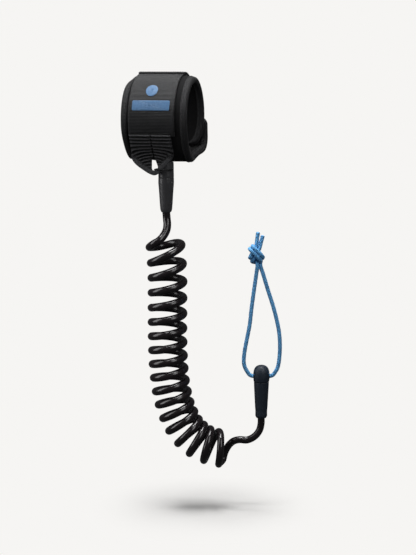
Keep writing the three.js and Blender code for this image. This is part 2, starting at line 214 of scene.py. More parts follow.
def loft(name, rings, caps=True, sharp=50, along=None):
    """A skin over closed rings of points, [ring, point, xyz] in millimetres. Its UV map, named
    cloth, holds millimetres round the ring and millimetres along the rings."""
    rings = np.asarray(rings, float)
    count, size, _ = rings.shape
    steps = np.linalg.norm(np.diff(rings, axis=1, append=rings[:, :1]), axis=2).mean(0)
    around = np.concatenate([[0], np.cumsum(steps)])
    if along is None:
        along = distances(rings.mean(1))
    i, j = np.meshgrid(np.arange(count - 1), np.arange(size), indexing="ij")
    k = (j + 1) % size
    quads = np.stack([i * size + j, i * size + k, (i + 1) * size + k, (i + 1) * size + j], -1)
    u0, u1 = around[j], around[j + 1]
    v0, v1 = along[i], along[i + 1]
    uvs = np.stack([u0, v0, u1, v0, u1, v1, u0, v1], -1).reshape(-1, 2)
    faces = quads.reshape(-1, 4).tolist()
    if caps:
        faces.append(list(range(size))[::-1])
        faces.append([(count - 1) * size + p for p in range(size)])
        first = np.stack([around[:size], np.full(size, along[0])], -1)
        last = np.stack([around[:size], np.full(size, along[-1])], -1)
        uvs = np.concatenate([uvs, first[::-1], last])
    mesh = bpy.data.meshes.new(name)
    mesh.from_pydata((rings.reshape(-1, 3) * MM).tolist(), [], faces)
    layer = mesh.uv_layers.new(name="cloth")
    layer.data.foreach_set("uv", uvs.ravel())
    finish_mesh(mesh, sharp)
    return add_object(name, mesh)


def set_cloth_map(obj, places):
    """Sets the cloth map from one pair of millimetres for each vertex."""
    corners = np.zeros(len(obj.data.loops), int)
    obj.data.loops.foreach_get("vertex_index", corners)
    obj.data.uv_layers["cloth"].data.foreach_set("uv", places[corners].ravel())


def turn_outward(mesh, weld=None):
    """Makes the faces point outward, after points nearer than weld metres are joined."""
    work = bmesh.new()
    work.from_mesh(mesh)
    if weld:
        bmesh.ops.remove_doubles(work, verts=work.verts, dist=weld)
        bmesh.ops.dissolve_degenerate(work, edges=work.edges, dist=weld)
    bmesh.ops.recalc_face_normals(work, faces=work.faces)
    work.to_mesh(mesh)
    work.free()


def finish_mesh(mesh, sharp):
    """Outward faces, smooth shading, and sharp edges above an angle in degrees."""
    turn_outward(mesh)
    mesh.polygons.foreach_set("use_smooth", np.ones(len(mesh.polygons), bool))
    mesh.set_sharp_from_angle(angle=math.radians(sharp))


def join(name, objects):
    """One object from several, which keeps their UV maps."""
    bpy.ops.object.select_all(action="DESELECT")
    for obj in objects:
        obj.select_set(True)
    bpy.context.view_layer.objects.active = objects[0]
    bpy.ops.object.join()
    made = bpy.context.view_layer.objects.active
    made.select_set(False)
    made.name = name
    made.data.name = name
    return made


def carve(obj, cutter):
    """Subtracts cutter from obj for good, and deletes it."""
    modifier = obj.modifiers.new("carve", "BOOLEAN")
    modifier.operation = "DIFFERENCE"
    modifier.solver = "EXACT"
    modifier.object = cutter
    graph = bpy.context.evaluated_depsgraph_get()
    mesh = bpy.data.meshes.new_from_object(obj.evaluated_get(graph))
    obj.modifiers.clear()
    obj.data = mesh
    bpy.data.objects.remove(cutter)
    mesh.set_sharp_from_angle(angle=math.radians(40))
    return obj


def mixed(first, last, t, start, end):
    """From first to last as t runs from start to end."""
    return (end - t) / (end - start) * first + (t - start) / (end - start) * last


def through_points(points, step):
    """Evenly spaced points on a centripetal Catmull-Rom curve through the given ones. A point's
    third coordinate is 0 where it has only two."""
    p = np.array([(*point, 0.0)[:3] for point in points], float)
    p = np.vstack([2 * p[0] - p[1], p, 2 * p[-1] - p[-2]])
    fine = []
    for a, b, c, d in zip(p, p[1:], p[2:], p[3:]):
        t0 = 0.0
        t1 = np.linalg.norm(b - a) ** 0.5
        t2 = t1 + np.linalg.norm(c - b) ** 0.5
        t3 = t2 + np.linalg.norm(d - c) ** 0.5
        t = np.linspace(t1, t2, 24, endpoint=False)[:, None]
        ab, bc, cd = mixed(a, b, t, t0, t1), mixed(b, c, t, t1, t2), mixed(c, d, t, t2, t3)
        abc, bcd = mixed(ab, bc, t, t0, t2), mixed(bc, cd, t, t1, t3)
        fine.append(mixed(abc, bcd, t, t1, t2))
    fine = np.vstack(fine + [p[-2][None]])
    return evenly(fine, step)


def evenly(points, step):
    """The same line with points a given step apart."""
    length = distances(points)
    count = max(2, int(round(length[-1] / step)) + 1)
    at = np.linspace(0, length[-1], count)
    return np.stack([np.interp(at, length, points[:, k]) for k in range(3)], -1)


def path_length(points):
    return float(distances(points)[-1])


def carried_frames(path):
    """Two directions across the path at each point, carried along it without twist."""
    tangents = unit(np.gradient(path, axis=0))
    seed = (0.0, 0.0, 1.0) if abs(tangents[0][2]) < 0.9 else (0.0, 1.0, 0.0)
    normal = np.cross(tangents[0], seed)
    normals = []
    for tangent in tangents:
        normal = unit(normal - tangent * normal.dot(tangent))
        normals.append(normal)
    normals = np.array(normals)
    return normals, np.cross(tangents, normals)


def tube(name, path, radius, sides, round_ends=0.0):
    """A tube along a path. radius is a number, or an array [point, side]. round_ends is how far
    from each end, in millimetres, it starts to close."""
    path = np.asarray(path, float)
    radii = np.broadcast_to(np.asarray(radius, float), (len(path), sides)).copy()
    if round_ends:
        at = distances(path)
        near = np.minimum(at, at[-1] - at).clip(0, round_ends) / round_ends
        radii *= np.sqrt(1 - (1 - near) ** 2).clip(0.25, 1)[:, None]
    rings = path[:, None] + circles(*carried_frames(path), sides) * radii[..., None]
    return loft(name, rings, sharp=60)


def turned(name, profile, centre, segments=72, dent=None):
    """A solid of revolution about a vertical axis, from [radius, z] pairs that go round a wall
    or start and end on the axis. dent moves the surface in, as a function of angle and height."""
    profile = np.asarray(profile, float)
    angles = full_turn(segments)
    radii = np.repeat(profile[:, :1], segments, 1)
    heights = np.repeat(profile[:, 1:], segments, 1)
    if dent is not None:
        radii = radii - dent(angles[None, :], radii, heights)
    x = centre[0] + radii * np.cos(angles)
    y = centre[1] + radii * np.sin(angles)
    rings = np.stack([x, y, heights], -1)
    starts_on_axis = profile[0][0] < 1e-6
    if not starts_on_axis:
        rings = np.concatenate([rings, rings[:1]])
    obj = loft(name, rings, caps=False, sharp=32)
    turn_outward(obj.data, WELD)
    return obj


def rounded(profile, radius=0.5, steps=4):
    """The same turned profile with each corner replaced by a small curve."""
    p = np.asarray(profile, float)
    made = [p[0]]
    for a, b, c in zip(p, p[1:], p[2:]):
        before, after = a - b, c - b
        reach = min(radius, 0.45 * np.linalg.norm(before), 0.45 * np.linalg.norm(after))
        start = b + unit(before) * reach
        end = b + unit(after) * reach
        for t in np.linspace(0, 1, steps + 1):
            made.append((1 - t) ** 2 * start + 2 * t * (1 - t) * b + t**2 * end)
    made.append(p[-1])
    return np.array(made)


# --- Materials ---


class Shader:
    """A Principled material, and short ways to build the nodes in front of it."""

    def __init__(self, name, color, roughness, **fixed):
        self.material = bpy.data.materials.new(name)
        self.material.use_nodes = True
        self.tree = self.material.node_tree
        self.bsdf = self.tree.nodes["Principled BSDF"]
        self.bsdf.inputs["Base Color"].default_value = (*color, 1)
        self.bsdf.inputs["Roughness"].default_value = roughness
        for socket, value in fixed.items():
            self.bsdf.inputs[socket.replace("_", " ")].default_value = value

    def link(self, out, socket):
        self.tree.links.new(out, socket)

    def put(self, socket, value):
        if hasattr(value, "links"):
            self.link(value, socket)
        else:
            socket.default_value = value

    def math(self, operation, a, b=0.0):
        node = self.tree.nodes.new("ShaderNodeMath")
        node.operation = operation
        self.put(node.inputs[0], a)
        self.put(node.inputs[1], b)
        return node.outputs[0]

    def plus(self, a, *more):
        for b in more:
            a = self.math("ADD", a, b)
        return a

    def times(self, a, *more):
        for b in more:
            a = self.math("MULTIPLY", a, b)
        return a

    def scaled(self, value, factor, shift):
        out = self.math("MULTIPLY_ADD", value, factor)
        out.node.inputs[2].default_value = shift
        return out

    def cloth(self):
        """The cloth map's two coordinates, in millimetres across and along."""
        uv = self.tree.nodes.new("ShaderNodeUVMap")
        uv.uv_map = "cloth"
        split = self.tree.nodes.new("ShaderNodeSeparateXYZ")
        self.link(uv.outputs[0], split.inputs[0])
        return split.outputs[0], split.outputs[1]

    def place(self):
        """The point on the object, in metres."""
        return self.tree.nodes.new("ShaderNodeTexCoord").outputs["Object"]

    def sine(self, coordinate, period, shift=0.0):
        return self.math("SINE", self.scaled(coordinate, TAU / period, shift))

    def noise(self, scale, detail=3.0, vector=None, roughness=0.5):
        """Noise over the object. Scale is in cycles a metre."""
        node = self.tree.nodes.new("ShaderNodeTexNoise")
        node.inputs["Scale"].default_value = scale
        node.inputs["Detail"].default_value = detail
        node.inputs["Roughness"].default_value = roughness
        self.link(vector or self.place(), node.inputs["Vector"])
        return node.outputs[0]

    def span(self, value, low, high):
        """A value from 0 to 1 moved to the range from low to high."""
        return self.scaled(value, high - low, low)

    def tint(self, value, dark, light):
        """The base colour runs from dark to light as value runs from 0 to 1."""
        mix = self.tree.nodes.new("ShaderNodeMix")
        mix.data_type = "RGBA"
        mix.inputs[6].default_value = (*dark, 1)
        mix.inputs[7].default_value = (*light, 1)
        self.put(mix.inputs[0], value)
        self.link(mix.outputs[2], self.bsdf.inputs["Base Color"])

    def rough(self, value):
        self.link(value, self.bsdf.inputs["Roughness"])

    def bump(self, height, distance, strength=1.0):
        """Surface relief. distance is in millimetres for a height of one."""
        node = self.tree.nodes.new("ShaderNodeBump")
        node.inputs["Strength"].default_value = strength
        node.inputs["Distance"].default_value = distance * MM
        self.link(height, node.inputs["Height"])
        self.link(node.outputs[0], self.bsdf.inputs["Normal"])


def mean(shader, a, b):
    return shader.times(shader.plus(a, b), 0.5)


def knit_material(name, dark, light, period=0.9, roughness=0.85):
    """Laminated jersey: columns of small loops, with a soft nap."""
    sheen = {"Sheen_Weight": 0.04, "Sheen_Roughness": 0.6}
    s = Shader(name, light, roughness, Specular_IOR_Level=0.12, **sheen)
    across, along = s.cloth()
    sway = s.times(s.math("ABSOLUTE", s.sine(along, 2 * period)), 0.35 * period)
    loops = s.sine(s.plus(across, sway), period)
    rows = s.sine(along, period)
    nap = s.noise(2600, 2)
    patches = s.noise(45, 4)
    s.bump(s.plus(s.times(mean(s, loops, rows), 0.5), nap), 0.12)
    pile = s.noise(700, 4, roughness=0.6)
    s.tint(s.times(patches, s.span(nap, 0.6, 1.3), s.span(pile, -0.4, 2.2)), dark, light)
    s.rough(s.span(patches, roughness - 0.08, roughness + 0.1))
    return s.material


def webbing_material(name, dark, light, across_period, along_period, roughness, relief=0.12):
    """Woven webbing: weft bars across it, with the warp's fine cords between them."""
    sheen = {"Sheen_Weight": 0.05, "Sheen_Roughness": 0.45}
    s = Shader(name, light, roughness, Specular_IOR_Level=0.25, **sheen)
    across, along = s.cloth()
    bars = s.sine(along, along_period)
    cords = s.sine(across, across_period)
    fibre = s.noise(3200, 2)
    fade = s.noise(38, 4)
    s.bump(s.plus(s.times(bars, 0.6), s.times(cords, 0.3), s.times(fibre, 0.8)), relief)
    shade = s.plus(s.span(bars, 0.0, 0.12), fade)
    lint = s.noise(800, 4, roughness=0.6)
    s.tint(s.times(shade, s.span(fibre, 0.7, 1.2), s.span(lint, 0.1, 1.7)), dark, light)
    s.rough(s.span(fade, roughness - 0.08, roughness + 0.12))
    return s.material


def ribbed_material():
    """Ribbed webbing with fuzzy threads: the crests are painted highlight and the valleys painted
    near-black shade, as light from above falls on them.
    """
    # dark is the valleys' painted shade, and light the crests' painted highlight.
    dark, light = (0.0005, 0.0005, 0.0006), (0.062, 0.0625, 0.067)
    plain = (0.03, 0.03, 0.033)
    s = Shader("ribbed_webbing", plain, 0.6, Sheen_Weight=0.05, Specular_IOR_Level=0.25)
    across, along = s.cloth()
    crest = s.math("POWER", s.span(s.sine(along, RIB_PITCH, -math.pi / 2), 0.5, 1.0), 1.6)
    threads = s.sine(across, 0.8)
    tufts = s.noise(900, 4, roughness=0.65)
    fibre = s.noise(3200, 2)
    s.bump(s.plus(s.times(threads, 0.4), tufts, fibre), 0.16)
    # This tint paints light on the ribs: highlight on each crest, shade in each valley.
    s.tint(s.times(crest, s.span(tufts, -0.3, 2.0)), dark, light)
    s.rough(s.span(tufts, 0.55, 0.8))
    return s.material


def nap_material(name, dark, light):
    """Hook and loop: a dense field of short curls."""
    s = Shader(name, light, 0.95, Sheen_Weight=0.4, Sheen_Roughness=0.7)
    curls = s.noise(1500, 4, roughness=0.7)
    s.bump(curls, 0.9)
    s.tint(curls, dark, light)
    return s.material


def moulded_material(name, dark, light, roughness, grain=0.03):
    """Moulded plastic: a fine spark-eroded grain, with faint flow marks and handling shine."""
    s = Shader(name, light, roughness, IOR=1.5)
    fine = s.noise(5200, 2)
    flow = s.noise(70, 3)
    s.bump(s.plus(fine, s.times(flow, 0.6)), grain)
    s.tint(flow, dark, light)
    s.rough(s.span(flow, roughness - 0.07, roughness + 0.1))
    return s.material


def urethane_material():
    """Extruded polyurethane: glossy and nearly black, with slow waves from the die."""
    plain = (0.0065, 0.0055, 0.007)
    s = Shader("urethane", plain, 0.17, IOR=1.5, Coat_Weight=0.25, Coat_Roughness=0.08)
    along = s.cloth()[1]
    wave = s.noise(110, 0)
    scuffs = s.noise(500, 2)
    s.bump(s.plus(wave, s.times(s.sine(along, 23), 0.1)), 0.03)
    s.tint(wave, (0.008, 0.006, 0.0068), (0.017, 0.0125, 0.014))
    s.rough(s.span(scuffs, 0.21, 0.25))
    return s.material


def braid_material():
    """Braided polyester: the relief is in the mesh, and the yarn's filaments are here."""
    dark, light = (0.08, 0.27, 0.58), (0.175, 0.52, 0.9)
    sheen = {"Sheen_Weight": 0.1, "Sheen_Roughness": 0.5}
    s = Shader("braid", (0.06, 0.2, 0.45), 0.7, Specular_IOR_Level=0.25, **sheen)
    across, along = s.cloth()
    one_way = s.sine(s.plus(across, along), 0.33)
    other_way = s.sine(s.math("SUBTRACT", across, along), 0.33)
    yarn = mean(s, one_way, other_way)
    fade = s.noise(120, 4)
    fibre = s.noise(4200, 2)
    s.bump(s.plus(s.times(yarn, 0.5), fibre), 0.05)
    s.tint(s.times(fade, s.span(fibre, 0.6, 1.4)), dark, light)
    s.rough(s.span(fade, 0.5, 0.75))
    return s.material


def metal_material(name, color, roughness):
    """Turned metal: fine rings from the tool, and a little tarnish."""
    s = Shader(name, color, roughness, Metallic=1.0)
    place = s.tree.nodes.new("ShaderNodeSeparateXYZ")
    s.link(s.place(), place.inputs[0])
    rings = s.sine(place.outputs[2], 0.00025)
    tarnish = s.noise(240, 4)
    s.bump(rings, 0.01)
    s.tint(tarnish, tuple(0.7 * c for c in color), color)
    s.rough(s.span(tarnish, roughness - 0.08, roughness + 0.15))
    return s.material


def print_material():
    """Ink pressed into the weave, which still shows through it and is worn at the high threads."""
    s = Shader("print_ink", (0.09, 0.25, 0.5), 0.55, Sheen_Weight=0.1)
    across, along = s.cloth()
    weave = mean(s, s.sine(along, 1.3), s.sine(across, 0.8))
    wear = s.noise(700, 4)
    s.bump(s.plus(weave, wear), 0.08)
    s.tint(s.times(wear, 1.4), (0.028, 0.09, 0.2), (0.058, 0.16, 0.32))
    return s.material


NEOPRENE = knit_material("neoprene_jersey", (0.0016, 0.0016, 0.0018), (0.006, 0.006, 0.0067))
BINDING = webbing_material("binding_tape", (0.006, 0.006, 0.0066), (0.02, 0.0205, 0.022), 0.6, 0.9, 0.6)
STRAP = webbing_material("strap_webbing", (0.005, 0.0052, 0.0058), (0.02, 0.0205, 0.0225), 0.8, 1.3, 0.45)
RIBBED = ribbed_material()
HOOKS = nap_material("hook_and_loop", (0.004, 0.004, 0.004), (0.018, 0.018, 0.019))
THREAD = webbing_material("thread", (0.015, 0.015, 0.016), (0.05, 0.051, 0.055), 0.3, 0.4, 0.6, 0.05)
NYLON = moulded_material("black_nylon", (0.038, 0.038, 0.041), (0.068, 0.068, 0.072), 0.3)
DARK_NYLON = moulded_material("dark_nylon", (0.003, 0.003, 0.0035), (0.006, 0.006, 0.0065), 0.7)
NAVY = moulded_material("navy_nylon", (0.0095, 0.0155, 0.027), (0.017, 0.027, 0.044), 0.5)
URETHANE = urethane_material()
BRAID = braid_material()
STEEL = metal_material("turned_steel", (0.6, 0.6, 0.62), 0.3)
BRASS = metal_material("pressed_brass", (0.62, 0.42, 0.14), 0.35)
PRINT = print_material()


def dress(obj, material, body, slot_name, *replaced):
    """Gives a piece its material and its body, and hides the CAD nodes it stands for. Its slot_name is
    not used.
    """
    obj.data.materials.clear()
    obj.data.materials.append(material)
    if replaced:
        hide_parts(*replaced)
    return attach(obj, body) if body else obj


# --- The curly cord ---

# Routes in the cord's plane: millimetres right of the cuff's axis, height, and how far behind.
LEAD_IN_ROUTE = [
    (0.0, -91.5), (0.5, -98.0), (1.0, -103.5, -1.5), (0.2, -109.2, -5.0), (-2.8, -114.6, -8.8),
    (-7.2, -119.0, -11.6), (-12.2, -122.0, -10.0),
]

COIL_AXIS_ROUTE = [
    (-1.2, -120.3), (0.8, -150.0), (0.9, -190.0), (1.0, -225.0), (2.2, -252.0), (5.0, -273.5),
    (11.0, -295.5), (22.0, -315.0), (37.0, -327.0), (58.5, -333.4),
]

LEAD_OUT_ROUTE = [
    (56.6, -346.0, 7.0), (58.3, -340.0, 8.6), (60.6, -334.2, 7.2), (63.9, -328.7, 4.0),
    (68.3, -324.7, 1.2), (73.8, -323.3), (81.4, -323.6), (89.1, -319.6), (93.7, -313.4),
    (95.3, -306.5), (BOARD_AXIS_S, -300.6),
]

COIL_START = 5.0  # along the axis route, to the first turn's outer left
PITCH_END = 11.7
PITCH_EXTRA = 4.7
STEPS_A_TURN = 160
FIRST_TURN_RAISE = 8.0  # the first turns lean: their right sides hang higher, in millimetres
LAST_TURN_PUSH = 3.0  # the last turn is drawn along towards the lead-out


def coil_points():
    """The helix, in plane coordinates: it starts at the left, goes behind, and comes down."""
    axis = through_points(COIL_AXIS_ROUTE, 0.5)
    length = distances(axis)
    heading = np.gradient(axis, axis=0)
    turns = np.linspace(0, COIL_TURNS, COIL_TURNS * STEPS_A_TURN + 1)
    left = 1 - turns / COIL_TURNS
    travelled = PITCH_END * turns + PITCH_EXTRA * COIL_TURNS / 2.5 * (1 - left**2.5)
    first = FIRST_TURN_RAISE * np.exp(-(turns - 0.5) / 2.5) * np.sin(math.pi * turns) ** 2
    last = LAST_TURN_PUSH * smoothstep(turns, COIL_TURNS - 0.9, COIL_TURNS - 0.1)
    at = COIL_START + travelled - first * smoothstep(turns, 0, 0.4) + last
    points = []
    for turn, along in zip(turns, at):
        centre = np.array([np.interp(along, length, axis[:, k]) for k in range(3)])
        ahead = unit(np.array([np.interp(along, length, heading[:, k]) for k in range(3)]))
        angle = math.pi - TAU * turn
        right, behind = math.cos(angle), math.sin(angle)
        points.append(centre + COIL_RADIUS * np.array([-ahead[1] * right, ahead[0] * right, behind]))
    return np.array(points)


def cord_path():
    coil = coil_points()
    lead_in = through_points([*LEAD_IN_ROUTE, *coil[:9:4]], 0.4)
    lead_out = through_points([*coil[-9::4], *LEAD_OUT_ROUTE], 0.4)
    joined = np.vstack([lead_in[:-3], coil[9:-11], lead_out])
    even = evenly(joined, 1.0)
    return np.array([in_plane(s, z, behind) for s, z, behind in even])


def make_cord():
    path = cord_path()
    near_end = smoothstep(np.arange(len(path)) / (len(path) - 1), 0.8, 0.97)
    radius = CORD_RADIUS + (CORD_END_RADIUS - CORD_RADIUS) * near_end
    cord = tube("curly_cord", path, radius[:, None], CORD_SIDES)
    dress(cord, URETHANE, "cord", "urethane", "cord_lead_in", "curly_cord_coil", "cord_lead_out")


make_cord()

# --- The board string: one length, from tail to tail, through the head and twice the knot ---

STRING_LOOP_ROUTE = [
    (90.0, -152.3), (87.6, -169.7), (85.2, -188.1), (83.3, -205.5), (80.0, -222.9), (78.1, -234.3),
    (77.6, -243.1), (78.7, -248.5), (81.0, -252.8), (83.4, -256.1), (85.9, STRING_HOLE_Z),
    (90.6, STRING_HOLE_Z), (BOARD_AXIS_S, STRING_HOLE_Z), (100.2, STRING_HOLE_Z),
    (104.9, STRING_HOLE_Z), (107.3, -256.1), (109.4, -253.2), (111.5, -249.3), (112.9, -243.1),
    (113.9, -227.8), (113.0, -213.2), (110.6, -200.7), (106.8, -186.2), (101.5, -169.7),
    (96.2, -152.3),
]

KNOT_CENTRE = (89.8, -132.9)
STRAND_OFFSET = 1.95

# The overhand knot that the two strands tie side by side: the bundle's middle from below to
# above, given right of, above and behind the knot's centre, then the direction from the first
# strand to the second.
KNOT_ROUTE = [
    ((2.6, -12.6, 0.3), (0.8, 0.0, 0.6)), ((2.3, -8.8, 1.2), (0.9, 0.0, 0.4)),
    ((1.2, -4.0, 1.7), (1.0, 0.1, 0.0)), ((-1.0, 1.0, 1.7), (0.93, 0.37, 0.0)),
    ((-3.8, 5.0, 1.6), (0.8, 0.6, 0.0)), ((-5.3, 6.2, -1.4), (0.7, 0.7, 0.0)),
    ((-4.0, 4.9, -4.3), (0.65, 0.76, 0.0)), ((-0.4, 1.8, -5.0), (0.62, 0.78, 0.0)),
    ((3.4, -2.4, -4.4), (0.6, 0.8, 0.0)), ((5.5, -5.6, -1.2), (0.5, 0.87, 0.0)),
    ((3.6, -7.2, 2.8), (0.3, 0.95, 0.0)), ((0.0, -7.4, 5.0), (0.05, 1.0, 0.0)),
    ((-3.4, -7.0, 3.9), (-0.15, 1.0, 0.0)), ((-5.3, -6.0, 0.6), (-0.5, 0.85, -0.1)),
    ((-4.4, -4.2, -1.9), (-0.8, 0.55, -0.2)), ((-2.2, 0.0, -1.8), (-0.85, 0.5, 0.0)),
    ((0.6, 4.6, -1.2), (-0.9, 0.4, 0.0)), ((1.8, 8.0, -0.6), (-1.0, 0.1, 0.0)),
]
LONG_TAIL = [(90.1, -121.8, -0.3), (90.6, -117.0), (91.5, -111.3)]
SHORT_TAIL = [(94.2, -122.0, -0.3), (95.2, -118.6), (96.2, -114.7, 0.4)]


def knot_strand(side):
    """One of the two strands in the knot, from below to above. side is -1 or 1."""
    strand = []
    for middle, beside in KNOT_ROUTE:
        beside = unit(np.array(beside))
        right, above, behind = np.array(middle) + side * STRAND_OFFSET * beside
        strand.append((KNOT_CENTRE[0] + right, KNOT_CENTRE[1] + above, behind))
    return strand


def string_path():
    left, right = knot_strand(-1), knot_strand(1)
    route = SHORT_TAIL[::-1] + left[::-1] + STRING_LOOP_ROUTE + right + LONG_TAIL
    return np.array([in_plane(*p) for p in through_points(route, 0.5)])


def braided_radius(path):
    """Plaits that cross round the string: the radius at each point and side."""
    sides, plaits, lay, relief = 24, 4, 7.5, 0.1
    at = np.arange(len(path))[:, None] * path_length(path) / (len(path) - 1)
    angle = full_turn(sides)[None, :]
    one_way = np.cos(plaits * angle + TAU * at / lay)
    other_way = np.cos(plaits * angle - TAU * at / lay)
    return STRING_DIAMETER / 2 - relief + relief * np.maximum(one_way, other_way), sides


def make_string():
    path = string_path()
    radii, sides = braided_radius(path)
    string = tube("board_string", path, radii, sides, round_ends=0.8)
    nodes = ["string_loop", "string_knot", "string_tail_long", "string_tail_short"]
    dress(string, BRAID, "string", "braid", *nodes)


make_string()

# --- The cuff ---


def first_lap(degrees):
    """The first lap's curve through its points."""
    last = len(FIRST_LAP) - 1
    at = np.clip((degrees - FIRST_LAP_FROM) / FIRST_LAP_STEP, 0, last - 1e-6)
    low = at.astype(int)
    t = (at - low)[:, None]
    a, b, c, d = (FIRST_LAP[np.clip(low + k, 0, last)] for k in (-1, 0, 1, 2))
    return hermite(t, b, (c - a) / 2, c, (d - b) / 2)


def wrap_line(degrees):
    """The middle of the band's thickness at an angle: y and z. 0 is the crest, 90 the back."""
    degrees = np.asarray(degrees, float)
    angle = np.radians(degrees)
    half_depth = np.where(np.sin(angle) > 0, BAND_BACK_HALF_DEPTH, BAND_FRONT_HALF_DEPTH)
    half_height = BAND_HALF_HEIGHT - CREST_SAG * np.clip(np.cos(angle), 0, 1) ** 2
    oval = np.stack([half_depth * np.sin(angle), half_height * np.cos(angle)], -1)
    return np.where((degrees < FIRST_LAP_END)[:, None], first_lap(degrees), oval)


def strap_lift(degrees):
    rise = STRAP_LIFT * smoothstep(degrees, STRAP_LIFT_FROM, STRAP_LIFT_TO)
    return rise + STRAP_FLARE * smoothstep(degrees, STRAP_LIFT_TO, STRAP_FLARE_TO)


def wrap_normals(degrees):
    """The outward direction at each angle: x, y and z."""
    along = unit(wrap_line(degrees + 0.5) - wrap_line(degrees - 0.5))
    return np.stack([np.zeros(len(degrees)), -along[:, 1], along[:, 0]], -1)


def on_wrap(degrees, x, height):
    """Points on the wrap: one ring for each angle, from arrays [angle, point] of x and height."""
    base, normal = wrap_line(degrees), wrap_normals(degrees)
    y = base[:, :1] + normal[:, 1:2] * height
    z = base[:, 1:] + normal[:, 2:] * height
    return np.stack([x, y, z], -1)


def wrap_distance(degrees):
    """Millimetres along the wrap from the first angle to each one."""
    return distances(wrap_line(degrees))


def pill(half_width, half_height, radius, across=24, corner=7):
    """A closed section [x, height] with round ends, listed from its upper left round."""
    xs = np.linspace(-half_width + radius, half_width - radius, across)
    turn = np.linspace(math.pi / 2, -math.pi / 2, corner)[1:-1]
    right = [(half_width - radius + radius * math.cos(a), half_height * math.sin(a)) for a in turn]
    top = [(x, half_height) for x in xs]
    bottom = [(x, -half_height) for x in xs[::-1]]
    left = [(-x, -h) for x, h in right]
    return np.array(top + right + bottom + left)


def band_edge(degrees, side):
    """The x of one of the band's edges, with the first lap's corners rounded off."""
    table = np.array(RIGHT_EDGE if side > 0 else LEFT_EDGE)
    near = np.clip((degrees - BAND_START) / 9.0, 0, 1)
    corner = 7.0 * (1 - np.sqrt(1 - (1 - near) ** 2))
    return side * (np.interp(degrees, table[:, 0], table[:, 1]) - corner)


def droop(degrees, x):
    """How far the band is pressed in, in millimetres: its edges at the crest, beside the strap,
    and its left half below."""
    crest = smoothstep(degrees, 308, 352) * (1 - smoothstep(degrees, 392, 440))
    below = smoothstep(degrees, 165, 200) * (1 - smoothstep(degrees, 228, 262))
    left = 4.6 * smoothstep(-x, 24.5, 33.5)
    right = 2.0 * smoothstep(x, 21.0, 31.0)
    return crest[:, None] * (left + right) + below[:, None] * 2.2 * smoothstep(-x, -12, 26)


def softness(points, size, amount):
    """A slow, seeded waviness for foam, in millimetres."""
    return np.array([amount * noise.noise(Vector(p) / size) for p in points])


def make_band():
    degrees = np.linspace(BAND_START, BAND_END, 300)
    section = pill(1.0, 2.45, 0.07, across=40)
    left, right = band_edge(degrees, -1)[:, None] + 0.4, band_edge(degrees, 1)[:, None] - 0.4
    x = (left + right) / 2 + section[None, :, 0] * (right - left) / 2
    height = np.repeat(section[None, :, 1], len(degrees), 0)
    rings = on_wrap(degrees, x, height)
    bulge = softness(rings.reshape(-1, 3), 17.0, 0.35).reshape(height.shape)
    quilt = 0.25 * np.cos(np.clip(x / 27.0, -1, 1) * math.pi / 2)
    from_end = np.minimum(degrees - BAND_START, BAND_END - degrees)
    pinched = 1 - 0.45 * (1 - smoothstep(from_end, 0, 2.5))[:, None]
    swell = np.sign(height) * quilt * (np.abs(x) < 27.5) + bulge * 0.6
    rings = on_wrap(degrees, x, height * pinched + swell - droop(degrees, x))
    band = loft("cuff_band", rings, along=wrap_distance(degrees), sharp=70)
    dress(band, NEOPRENE, "cuff", "neoprene", "neoprene_band", "band_outer_face", "band_lining")
    return band


def binding_section():
    """The folded tape's section: how far in from the edge, and the height."""
    outer_turn = np.linspace(math.pi / 2, -math.pi / 2, 9)
    outer = [(1.9 - 2.2 * math.cos(a), 3.0 * math.sin(a)) for a in outer_turn]
    inner = [(1.9 - 1.75 * math.cos(a), 2.55 * math.sin(a)) for a in outer_turn[::-1]]
    top = [(6.2, 2.72), (5.9, 2.98), (4.0, 3.02)]
    bottom = [(4.0, -3.02), (5.9, -2.98), (6.2, -2.72)]
    under = [(5.8, -2.5), (4.0, -2.52)]
    over = [(4.0, 2.52), (5.8, 2.5)]
    return np.array(top + outer + bottom + under + inner + over)


def make_binding(side, end):
    degrees = np.linspace(BAND_START + 0.3, BAND_END - 0.2, 420)
    section = binding_section()
    edge = side * band_edge(degrees, side)[:, None]
    at = wrap_distance(degrees)[:, None]
    pucker = 0.07 * np.sin(at * TAU / 3.1) * (section[None, :, 0] > 3)
    x = side * (edge - section[None, :, 0])
    height = section[None, :, 1] * (1 + pucker * 0.4) - droop(degrees, x)
    rings = on_wrap(degrees, x, height)
    binding = loft("edge_tape_" + end, rings, along=wrap_distance(degrees), sharp=60)
    dress(binding, BINDING, "cuff", "binding", "edge_binding_" + end)


def stitch_row(name, holes, normals, thread=0.26, arch=0.38, sides=6):
    """Short stitches between each pair of neighbouring holes, as one mesh."""
    pieces = []
    for number, (a, b, out) in enumerate(zip(holes, holes[1:], normals)):
        a, b, out = (np.asarray(v, float) for v in (a, b, out))
        t = np.linspace(0.06, 0.94, 6)
        path = a + (b - a) * t[:, None] + out * (arch * np.sin(t * math.pi) - 0.16)[:, None]
        pieces.append(tube(f"{name}_{number}", path, thread, sides, round_ends=0.3))
    return join(name, pieces)


def make_binding_stitches():
    """A zigzag along the inner edge of each binding, outside and inside."""
    rows = []
    for side in (-1, 1):
        for face in (-1, 1):
            degrees = np.arange(BAND_START + 6, BAND_END - 6, 4.2)
            zigzag = np.where(np.arange(len(degrees)) % 2, 5.2, 3.9)
            x = band_edge(degrees, side)[:, None] - side * zigzag[:, None]
            height = face * 3.0 - droop(degrees, x)
            holes = on_wrap(degrees, x, height)[:, 0]
            normals = wrap_normals(degrees) * face
            rows.append(stitch_row(f"zigzag_{side}_{face}", holes, normals))
    stitches = join("binding_stitches", rows)
    dress(stitches, THREAD, "cuff", "binding")


def strip_section(left, right, thickness):
    """A strap's section from its left edge: x, height above its underside, and 1 on its top."""
    section = pill((right - left) / 2, thickness / 2, thickness / 2, across=30, corner=6)
    x, height = section[:, 0] + (left + right) / 2, section[:, 1] + thickness / 2
    return np.stack([x, height, height > 0.999 * thickness], -1)


